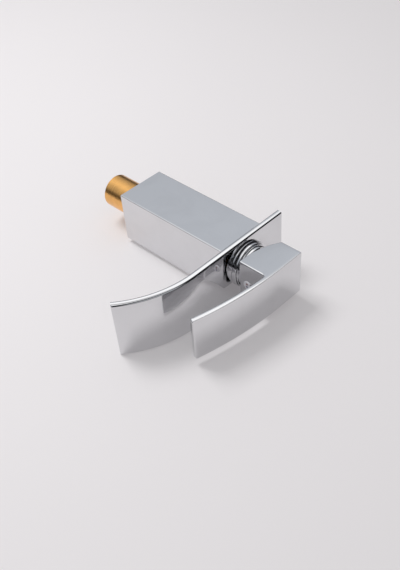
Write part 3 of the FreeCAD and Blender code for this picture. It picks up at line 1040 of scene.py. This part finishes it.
@dataclass
class Lever(SubAssembly):
    """The handle: a hollow block over the column with a long thin blade over the spout."""

    half: float = 19.6
    front: float = -19.6
    rear: float = 18.4
    bottom: float = 131.6
    top: float = 160.9
    arch_start: float = -5.0
    arch_radius: float = 295.0
    tip: float = -88.0
    blade: float = 3.5
    flat_steps: int = 8
    block_steps: int = 5
    blade_steps: int = 30
    belly_flat_end: float = -14.0
    belly_radius: float = 57.0
    wall: float = 3.2
    cavity_roof: float = 150.0
    cavity_corner: float = 4.0
    boss_radius: float = 8.2
    boss_bottom: float = 136.0
    web_half: float = 4.2
    socket_half: float = 3.55
    socket_depth: float = 11.5
    grub_height: float = 139.4
    grub_radius: float = 2.5
    button_radius: float = 3.65
    button_depth: float = 2.2
    edge_round: float = 0.6
    top_round: float = 0.35
    tip_round: float = 0.25
    front_round: float = 1.8
    front_edge_top: float = 157.0
    front_band: float = 0.5
    root_round: float = 2.0
    corner_round: float = 1.5
    sharp_degrees: float = 50.0
    crisp_degrees: float = 30.0
    ridge_depth: float = 2.5
    fade_rows: int = 18
    top_inset: float = 0.32
    low_inset: float = 0.1

    def build(self) -> None:
        """Build the handle."""
        handle = self.arched_strip()
        self.drop_block(handle)
        self.fill_root(handle)
        self.round_tip(handle)
        self.crown_sides(handle)
        face_outwards(handle)
        self.round_outside(handle)
        self.hollow(handle)
        shade(handle, self.crisp_degrees)
        self.hand_over(handle, Rides.LEVER, "handle")

    def turn_for(self, y: float) -> float:
        """The angle along the arch, in radians, from its start to a place along Y."""
        return math.asin((self.arch_start - y) / self.arch_radius)

    def turn_of(self, place: Vector) -> float:
        """The angle along the arch, in radians, of any point: below zero where the top is flat."""
        return math.atan2(self.arch_start - place.y, place.z - (self.top - self.arch_radius))

    def at_turn(self, place: Vector, turn: float) -> bool:
        """Whether a point lies at an angle along the arch."""
        return abs(self.turn_of(place) - turn) < SAME_TURN

    def depth_of(self, place: Vector) -> float:
        """Measure how far a point lies below the top.

        Args:
            place: the point's place.

        Returns:
            Its depth in millimetres, square to the top.
        """
        if place.y > self.arch_start:
            return self.top - place.z
        centre = Vector((place.x, self.arch_start, self.top - self.arch_radius))
        return self.arch_radius - (place - centre).length

    def round_outside(self, handle: Piece) -> None:
        """Round the handle's sharp convex edges, each by its own radius.

        Args:
            handle: the handle.
        """
        with edit(handle):
            mesh = bmesh.from_edit_mesh(handle.data)
            mesh.normal_update()
            weights = mesh.edges.layers.float.new("bevel_weight_edge")
            for edge in mesh.edges:
                if edge.calc_face_angle_signed(0.0) > math.radians(self.sharp_degrees):
                    edge[weights] = self.radius_at(*(end.co / MM for end in edge.verts)) / self.front_round
            bmesh.update_edit_mesh(handle.data)
        apply_modifier(handle, "BEVEL", width=self.front_round * MM, segments=5, limit_method="WEIGHT",
                       use_clamp_overlap=False)

    def radius_at(self, start: Vector, end: Vector) -> float:
        """How far an edge is rounded: crisp round the block's top and again at the blade's tip.

        Args:
            start: one end of the edge.
            end: its other end.

        Returns:
            The radius.
        """
        middle = (start + end) / 2
        upright = (start - end).xy.length < NEAR
        if upright and middle.y < self.front + NEAR and middle.z < self.front_edge_top:
            return self.front_round
        if middle.y > self.front:
            return self.top_round if self.depth_of(middle) < ROW else self.edge_round
        share = (self.front - middle.y) / (self.front - self.tip)
        return self.edge_round + (self.tip_round - self.edge_round) * share

    def arched_strip(self) -> Piece:
        """Carry the blade's section forward, flat at first, then along the arch to the tip.

        Returns:
            The closed strip from rear to tip.
        """
        ridge = self.top - self.ridge_depth
        right = [(self.half, self.rear, z) for z in (self.top - self.blade, ridge, self.top)]
        left = [(-x, y, z) for x, y, z in reversed(right)]
        strip = outline("lever_handle", [left[-1], *right, *left[:-1]])
        centre = (0, self.arch_start * MM, (self.top - self.arch_radius) * MM)
        block_end, blade_end = self.turn_for(self.front), self.turn_for(self.tip)
        stretches = ((0.0, block_end, self.block_steps), (block_end, blade_end, self.blade_steps))
        with edit(strip):
            pick_all()
            for _ in range(self.flat_steps):
                extrude_faces((0, (self.arch_start - self.rear) / self.flat_steps, 0))
            bpy.ops.mesh.delete(type="ONLY_FACE")
            for first, last, steps in stretches:
                pick(strip, Part.POINTS, lambda co: self.at_turn(co, first))
                bpy.ops.mesh.spin(steps=steps, angle=last - first, center=centre, axis=(-1, 0, 0))
                pick(strip, Part.FACES, lambda co, normal: self.at_turn(co, last))
                bpy.ops.mesh.delete(type="ONLY_FACE")
            pick(strip, Part.POINTS, lambda co: self.at_turn(co, blade_end))
            bpy.ops.mesh.edge_face_add()
        face_outwards(strip)
        return strip

    def drop_block(self, handle: Piece) -> None:
        """Extrude the block down from the strip's rear part, and curve its underside.

        Args:
            handle: the strip.
        """
        end = self.turn_for(self.front)

        def on_front(co: Vector) -> bool:
            """Whether a point belongs to the block's front face."""
            under_blade = self.at_turn(co, end) and self.depth_of(co) > self.blade - NEAR
            return under_blade or co.z < self.bottom + NEAR and co.y < self.front + self.front_band

        with edit(handle):
            pick(handle, Part.FACES, lambda co, normal: normal.z < -0.5 and self.turn_of(co) < end)
            extrude_faces((0, 0, (self.bottom - self.top) / 2))
            bpy.ops.transform.resize(value=(1, 1, 0), center_override=(0, 0, self.bottom * MM))
            pick(handle, Part.POINTS, on_front)
            bpy.ops.transform.resize(value=(1, 0, 1), center_override=(0, self.front * MM, 0))
            rows = sorted({round(point.co.y / MM, 3) for point in bmesh.from_edit_mesh(handle.data).verts
                           if point.co.z / MM < self.bottom + NEAR})
            for row in rows:
                reach = row - self.belly_flat_end
                if reach > 0:
                    rise = self.belly_radius - math.sqrt(self.belly_radius ** 2 - reach ** 2)
                    pick(handle, Part.POINTS,
                         lambda co: abs(co.y - row) < MERGE and abs(co.z - self.bottom) < NEAR)
                    move((0, 0, rise))

    def fill_root(self, handle: Piece) -> None:
        """Round the inner corner where the blade leaves the block.

        Args:
            handle: the handle.
        """
        round_edges(handle, self.root_round, segments=6, wanted=lambda a, b: all(
            abs(end.y - self.front) < NEAR and abs(self.depth_of(end) - self.blade) < ROW
            for end in (a, b)))

    def round_tip(self, handle: Piece) -> None:
        """Round the two corners of the blade's tip in plan.

        Args:
            handle: the handle.
        """
        tip = self.turn_for(self.tip)
        round_edges(handle, self.corner_round, segments=6, wanted=lambda a, b: all(
            abs(abs(end.x) - self.half) < NEAR and self.at_turn(end, tip) for end in (a, b))
            and abs(a.x - b.x) < HAIR)

    def crown_sides(self, handle: Piece) -> None:
        """Crown the blade's two thin sides by drawing their edges in from the ridge.

        Args:
            handle: the handle.
        """
        start = self.turn_for(self.front)
        step = (self.turn_for(self.tip) - start) / self.blade_steps
        with edit(handle):
            for depth, inset in ((0.0, self.top_inset), (self.blade, self.low_inset)):
                for row in range(1, self.fade_rows + 1):
                    first = start + step * row - SAME_TURN
                    last = first + 2 * SAME_TURN if row < self.fade_rows else math.inf
                    pick(handle, Part.POINTS, lambda co: first < self.turn_of(co) < last
                         and abs(self.depth_of(co) - depth) < ROW / 2)
                    drawn = 1 - inset / self.half * row / self.fade_rows
                    bpy.ops.transform.resize(value=(drawn, 1, 1), center_override=(0, 0, 0))

    def hollow(self, handle: Piece) -> None:
        """Cut the cavity, the stem's socket, the grub screw's bore and the button's seat.

        Args:
            handle: the handle.
        """
        low, roof = self.boss_bottom, self.cavity_roof
        inner = self.half - self.wall
        cavity = block("cavity", (-inner, self.front + self.wall, self.bottom - 5 * PAST),
                       (inner, self.rear - self.wall, roof), self.cavity_corner)
        combine(cavity, cylinder("boss", self.boss_radius, low, roof + 5 * PAST))
        combine(cavity, block("web", (-self.web_half, self.front, low),
                              (self.web_half, 0, roof + 5 * PAST)))
        combine(handle, cavity)
        combine(handle, block("socket", (-self.socket_half, -self.socket_half, low - PAST),
                              (self.socket_half, self.socket_half, low + self.socket_depth)))
        combine(handle, cylinder("grub_bore", self.grub_radius, self.front - PAST, 0.0, self.grub_height))
        combine(handle, cylinder("button_seat", self.button_radius, self.front - PAST,
                                 self.front + self.button_depth, self.grub_height))


# ---- studio ----

@dataclass(frozen=True)
class Lamp:
    """A square lamp that looks at the tap and stays out of its reflections."""

    name: str
    place: Place
    side: float
    watts: float
    shadows: bool = True
    target: Place = (0, -30, 60)

    def hang(self) -> None:
        """Hang the lamp."""
        lamp = bpy.data.lights.new(self.name, "AREA")
        lamp.shape = "SQUARE"
        lamp.size = self.side * MM
        lamp.energy = self.watts
        lamp.use_shadow = self.shadows
        holder = bpy.data.objects.new(self.name, lamp)
        bpy.context.scene.collection.objects.link(holder)
        holder.location = Vector(self.place) * MM
        aim = Vector(self.target) * MM - holder.location
        holder.rotation_euler = aim.to_track_quat("-Z", "Y").to_euler()
        holder.visible_glossy = False


# The fill casts no shadow, as the light that the chrome throws back onto the floor.
LAMPS = (
    Lamp("key_lamp", (-1280, -120, -620), 600, 8.7),
    Lamp("fill_lamp", (-1350, -400, -300), 900, 6.2, shadows=False),
)

# The walls that the chrome mirrors, from below the floor (0) over its edge (0.5) to overhead (1).
WALLS = (
    (0.0, (0.72, 0.71, 0.72)),
    (0.49, (0.70, 0.69, 0.70)),
    (0.505, (0.03, 0.03, 0.032)),
    (0.62, (0.05, 0.05, 0.052)),
    (0.69, (0.49, 0.51, 0.545)),
    (0.84, (0.63, 0.66, 0.705)),
    (0.865, (0.80, 0.82, 0.84)),
    (0.885, (1.3, 1.3, 1.3)),
    (0.96, (1.3, 1.3, 1.3)),
    (0.975, (0.6, 0.6, 0.61)),
    (1.0, (0.6, 0.6, 0.61)),
)


@dataclass
class Studio:
    """Floor, lamps, surroundings and camera."""

    floor_level: float = 26.1
    floor_half: float = 1500.0
    lens: float = 66.68
    eye: Place = (-383.51, -326.83, 420.62)
    forward: Place = (0.71238, 0.49065, -0.50178)
    upward: Place = (-0.70011, 0.54648, -0.45958)
    shift: Point = (-0.0495, 0.0944)
    pale: tuple[Colour, Colour] = ((0.815, 0.79, 0.80), (0.84, 0.815, 0.825))
    # Painted shade: the floor's colour far off, as the chrome mirrors it.
    painted_dark_far_floor: Colour = (0.06, 0.055, 0.06)
    unlit_side: Colour = (0.02, 0.02, 0.022)
    window: Colour = (0.46, 0.47, 0.49)
    soft_light: Colour = (0.38, 0.38, 0.385)
    backdrop: Colour = (0.86, 0.855, 0.87)
    # Distances from the origin, in metres, over which the painted dark floor fades in.
    painted_dark_fade: Point = (0.30, 0.45)
    dark_side: Point = (0.40, 0.46)
    window_start: Point = (0.71, 0.79)
    window_end: Point = (0.35, 0.15)

    def build(self) -> None:
        """Set up everything round the tap."""
        self.lay_floor()
        for lamp in LAMPS:
            lamp.hang()
        self.light_surroundings()
        self.place_camera()
        bpy.context.scene.view_settings.view_transform = "Standard"

    def lay_floor(self) -> None:
        """A pale floor against the tap's +X side, seen only from the tap's side, and painted dark far off
        where the chrome mirrors it.
        """
        deselect_all()
        bpy.ops.mesh.primitive_plane_add(size=2 * self.floor_half * MM)
        floor = settle("floor", rotation_euler=(0, -math.pi / 2, 0),
                       location=(self.floor_level * MM, 0, 0))
        material = bpy.data.materials.new("pale_floor")
        material.use_nodes = True
        tree = material.node_tree
        sheet = Sheet(tree)
        place = sheet.place()
        pale = sheet.blend(sheet.noise(place, 3.0, detail=2.0), *self.pale)
        reach = sheet.add("ShaderNodeVectorMath", operation="LENGTH")
        sheet.put(place, reach.inputs[0])
        # Painted reflection: as mirrored in the chrome, the floor is painted dark between two distances, as
        # painted shade.
        mirrored = sheet.add("ShaderNodeLightPath").outputs["Is Glossy Ray"]
        painted_dark_share = sheet.maths("MULTIPLY", sheet.spread(reach.outputs["Value"], self.painted_dark_fade), mirrored)
        shader = sheet.feed(tree.nodes["Principled BSDF"], Roughness=0.85, Specular_IOR_Level=0.15,
                            Base_Color=sheet.blend(painted_dark_share, pale, self.painted_dark_far_floor))
        choice = sheet.add("ShaderNodeMixShader")
        sheet.put(sheet.add("ShaderNodeNewGeometry").outputs["Backfacing"], choice.inputs[0])
        sheet.put(shader.outputs[0], choice.inputs[1])
        sheet.put(sheet.add("ShaderNodeBsdfTransparent").outputs[0], choice.inputs[2])
        sheet.put(choice.outputs[0], tree.nodes["Material Output"].inputs["Surface"])
        floor.data.materials.append(material)

    def light_surroundings(self) -> None:
        """A studio round the tap: white overhead, grey walls, a dark side and a pale window in it."""
        world = bpy.data.worlds.new("studio")
        bpy.context.scene.world = world
        world.use_nodes = True
        sheet = Sheet(world.node_tree)
        direction = sheet.apart(sheet.add("ShaderNodeTexCoord").outputs["Generated"])
        ramp = sheet.add("ShaderNodeValToRGB")
        sheet.put(sheet.spread(direction["X"], (1.0, -1.0)), ramp.inputs[0])
        stops = ramp.color_ramp.elements
        stops.remove(stops[0])
        stops[0].position = WALLS[0][0]
        for number, (position, colour) in enumerate(WALLS):
            stop = stops.new(position) if number else stops[0]
            stop.color = (*colour, 1.0)
        in_window = sheet.maths("MULTIPLY", sheet.spread(direction["Z"], self.window_start),
                                sheet.spread(direction["Y"], self.window_end))
        side = sheet.blend(in_window, self.unlit_side, self.window)
        room = sheet.blend(sheet.spread(direction["Z"], self.dark_side), ramp.outputs["Color"], side)
        path = sheet.add("ShaderNodeLightPath").outputs
        lit = sheet.blend(path["Is Diffuse Ray"], room, self.soft_light)
        seen = sheet.blend(path["Is Camera Ray"], lit, self.backdrop)
        sheet.feed(world.node_tree.nodes["Background"], Color=seen, Strength=1.0)

    def place_camera(self) -> None:
        """Put the camera where the photograph was taken from."""
        data = bpy.data.cameras.new("camera")
        data.sensor_fit = "HORIZONTAL"
        data.sensor_width = 36.0
        data.lens = self.lens
        data.shift_x, data.shift_y = self.shift
        data.clip_start = 0.01
        data.clip_end = 20.0
        camera = bpy.data.objects.new("camera", data)
        bpy.context.scene.collection.objects.link(camera)
        back = -Vector(self.forward).normalized()
        right = Vector(self.upward).cross(back).normalized()
        turn = Matrix((right, back.cross(right), back)).transposed().to_4x4()
        camera.matrix_world = Matrix.Translation(Vector(self.eye) * MM) @ turn
        bpy.context.scene.camera = camera


def main() -> None:
    """Build the tap and its studio."""
    logging.basicConfig(level=logging.INFO, format="%(name)s: %(message)s")
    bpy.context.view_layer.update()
    paint = PaintBox()
    for part in (ShownNodes(paint, COLUMN), Spout(paint), Bonnet(paint), Lever(paint),
                 ShownNodes(paint, CARTRIDGE), ShownNodes(paint, LEVER_FITTINGS)):
        part.build()
    Studio().build()
    deselect_all()


if __name__ == "__main__":
    main()
